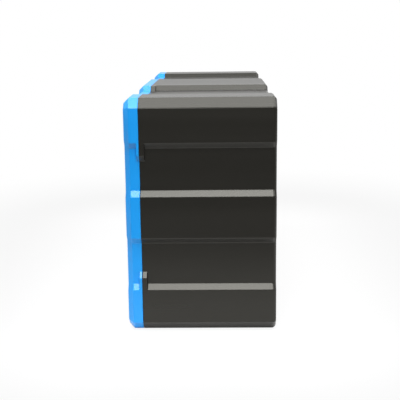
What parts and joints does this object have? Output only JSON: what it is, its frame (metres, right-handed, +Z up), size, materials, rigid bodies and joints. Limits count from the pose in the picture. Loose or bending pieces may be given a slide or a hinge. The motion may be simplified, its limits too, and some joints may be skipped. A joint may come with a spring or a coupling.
{
  "type": "drawer organizer cabinet",
  "caption": "Wide plastic parts cabinet with a banded black housing, a blue chamfered front bezel and rows of clear pull-out drawers for small parts.",
  "frame": {"origin": "under the middle of the cabinet, on the surface that it stands on", "axes": "+X across the cabinet to the right as seen from its front, +Y from the front to the back, +Z up"},
  "size_m": [0.5, 0.16, 0.252],
  "materials": {
    "housing_black": "satin moulded",
    "bezel_blue": "satin moulded",
    "grid_black": "satin moulded",
    "drawer_clear": "clear, slightly frosted",
    "partition_clear": "clear, slightly frosted"
  },
  "bodies": {
    "cabinet": {"right_side_panel": "housing_black", "left_side_panel": "housing_black", "top_cover": "housing_black", "base_pan": "housing_black", "back_panel": "housing_black", "front_bezel": "bezel_blue", "top_deck": "grid_black", "bottom_deck": "grid_black", "right_end_plate": "grid_black", "left_end_plate": "grid_black", "shelf_1": "grid_black", "shelf_2": "grid_black", "shelf_3": "grid_black", "upper_divider_1": "grid_black", "upper_divider_2": "grid_black", "upper_divider_3": "grid_black", "upper_divider_4": "grid_black", "upper_divider_5": "grid_black", "lower_divider_1": "grid_black", "lower_divider_2": "grid_black", "lower_divider_3": "grid_black"},
    "small_drawer_1_1": {"small_drawer_1_1": "drawer_clear"},
    "small_drawer_1_2": {"small_drawer_1_2": "drawer_clear"},
    "small_drawer_1_3": {"small_drawer_1_3": "drawer_clear"},
    "small_drawer_1_4": {"small_drawer_1_4": "drawer_clear"},
    "small_drawer_1_5": {"small_drawer_1_5": "drawer_clear"},
    "small_drawer_1_6": {"small_drawer_1_6": "drawer_clear"},
    "small_drawer_2_1": {"small_drawer_2_1": "drawer_clear"},
    "small_drawer_2_2": {"small_drawer_2_2": "drawer_clear"},
    "small_drawer_2_3": {"small_drawer_2_3": "drawer_clear"},
    "small_drawer_2_4": {"small_drawer_2_4": "drawer_clear"},
    "small_drawer_2_5": {"small_drawer_2_5": "drawer_clear"},
    "small_drawer_2_6": {"small_drawer_2_6": "drawer_clear"},
    "small_drawer_3_1": {"small_drawer_3_1": "drawer_clear"},
    "small_drawer_3_2": {"small_drawer_3_2": "drawer_clear"},
    "small_drawer_3_3": {"small_drawer_3_3": "drawer_clear"},
    "small_drawer_3_4": {"small_drawer_3_4": "drawer_clear"},
    "small_drawer_3_5": {"small_drawer_3_5": "drawer_clear"},
    "small_drawer_3_6": {"small_drawer_3_6": "drawer_clear"},
    "large_drawer_1": {"large_drawer_1": "drawer_clear", "partition_1": "partition_clear"},
    "large_drawer_2": {"large_drawer_2": "drawer_clear", "partition_2": "partition_clear"},
    "large_drawer_3": {"large_drawer_3": "drawer_clear", "partition_3": "partition_clear"},
    "large_drawer_4": {"large_drawer_4": "drawer_clear", "partition_4": "partition_clear"}
  },
  "joints": [
    {"name": "small_drawer_1_1_slide", "type": "slide", "parent": "cabinet", "child": "small_drawer_1_1", "axis": [0, -1, 0], "range_m": [0, 0.105]},
    {"name": "small_drawer_1_2_slide", "type": "slide", "parent": "cabinet", "child": "small_drawer_1_2", "axis": [0, -1, 0], "range_m": [0, 0.105]},
    {"name": "small_drawer_1_3_slide", "type": "slide", "parent": "cabinet", "child": "small_drawer_1_3", "axis": [0, -1, 0], "range_m": [0, 0.105]},
    {"name": "small_drawer_1_4_slide", "type": "slide", "parent": "cabinet", "child": "small_drawer_1_4", "axis": [0, -1, 0], "range_m": [0, 0.105]},
    {"name": "small_drawer_1_5_slide", "type": "slide", "parent": "cabinet", "child": "small_drawer_1_5", "axis": [0, -1, 0], "range_m": [0, 0.105]},
    {"name": "small_drawer_1_6_slide", "type": "slide", "parent": "cabinet", "child": "small_drawer_1_6", "axis": [0, -1, 0], "range_m": [0, 0.105]},
    {"name": "small_drawer_2_1_slide", "type": "slide", "parent": "cabinet", "child": "small_drawer_2_1", "axis": [0, -1, 0], "range_m": [0, 0.105]},
    {"name": "small_drawer_2_2_slide", "type": "slide", "parent": "cabinet", "child": "small_drawer_2_2", "axis": [0, -1, 0], "range_m": [0, 0.105]},
    {"name": "small_drawer_2_3_slide", "type": "slide", "parent": "cabinet", "child": "small_drawer_2_3", "axis": [0, -1, 0], "range_m": [0, 0.105]},
    {"name": "small_drawer_2_4_slide", "type": "slide", "parent": "cabinet", "child": "small_drawer_2_4", "axis": [0, -1, 0], "range_m": [0, 0.105]},
    {"name": "small_drawer_2_5_slide", "type": "slide", "parent": "cabinet", "child": "small_drawer_2_5", "axis": [0, -1, 0], "range_m": [0, 0.105]},
    {"name": "small_drawer_2_6_slide", "type": "slide", "parent": "cabinet", "child": "small_drawer_2_6", "axis": [0, -1, 0], "range_m": [0, 0.105]},
    {"name": "small_drawer_3_1_slide", "type": "slide", "parent": "cabinet", "child": "small_drawer_3_1", "axis": [0, -1, 0], "range_m": [0, 0.105]},
    {"name": "small_drawer_3_2_slide", "type": "slide", "parent": "cabinet", "child": "small_drawer_3_2", "axis": [0, -1, 0], "range_m": [0, 0.105]},
    {"name": "small_drawer_3_3_slide", "type": "slide", "parent": "cabinet", "child": "small_drawer_3_3", "axis": [0, -1, 0], "range_m": [0, 0.105]},
    {"name": "small_drawer_3_4_slide", "type": "slide", "parent": "cabinet", "child": "small_drawer_3_4", "axis": [0, -1, 0], "range_m": [0, 0.105]},
    {"name": "small_drawer_3_5_slide", "type": "slide", "parent": "cabinet", "child": "small_drawer_3_5", "axis": [0, -1, 0], "range_m": [0, 0.105]},
    {"name": "small_drawer_3_6_slide", "type": "slide", "parent": "cabinet", "child": "small_drawer_3_6", "axis": [0, -1, 0], "range_m": [0, 0.105]},
    {"name": "large_drawer_1_slide", "type": "slide", "parent": "cabinet", "child": "large_drawer_1", "axis": [0, -1, 0], "range_m": [0, 0.105]},
    {"name": "large_drawer_2_slide", "type": "slide", "parent": "cabinet", "child": "large_drawer_2", "axis": [0, -1, 0], "range_m": [0, 0.105]},
    {"name": "large_drawer_3_slide", "type": "slide", "parent": "cabinet", "child": "large_drawer_3", "axis": [0, -1, 0], "range_m": [0, 0.105]},
    {"name": "large_drawer_4_slide", "type": "slide", "parent": "cabinet", "child": "large_drawer_4", "axis": [0, -1, 0], "range_m": [0, 0.105]}
  ]
}
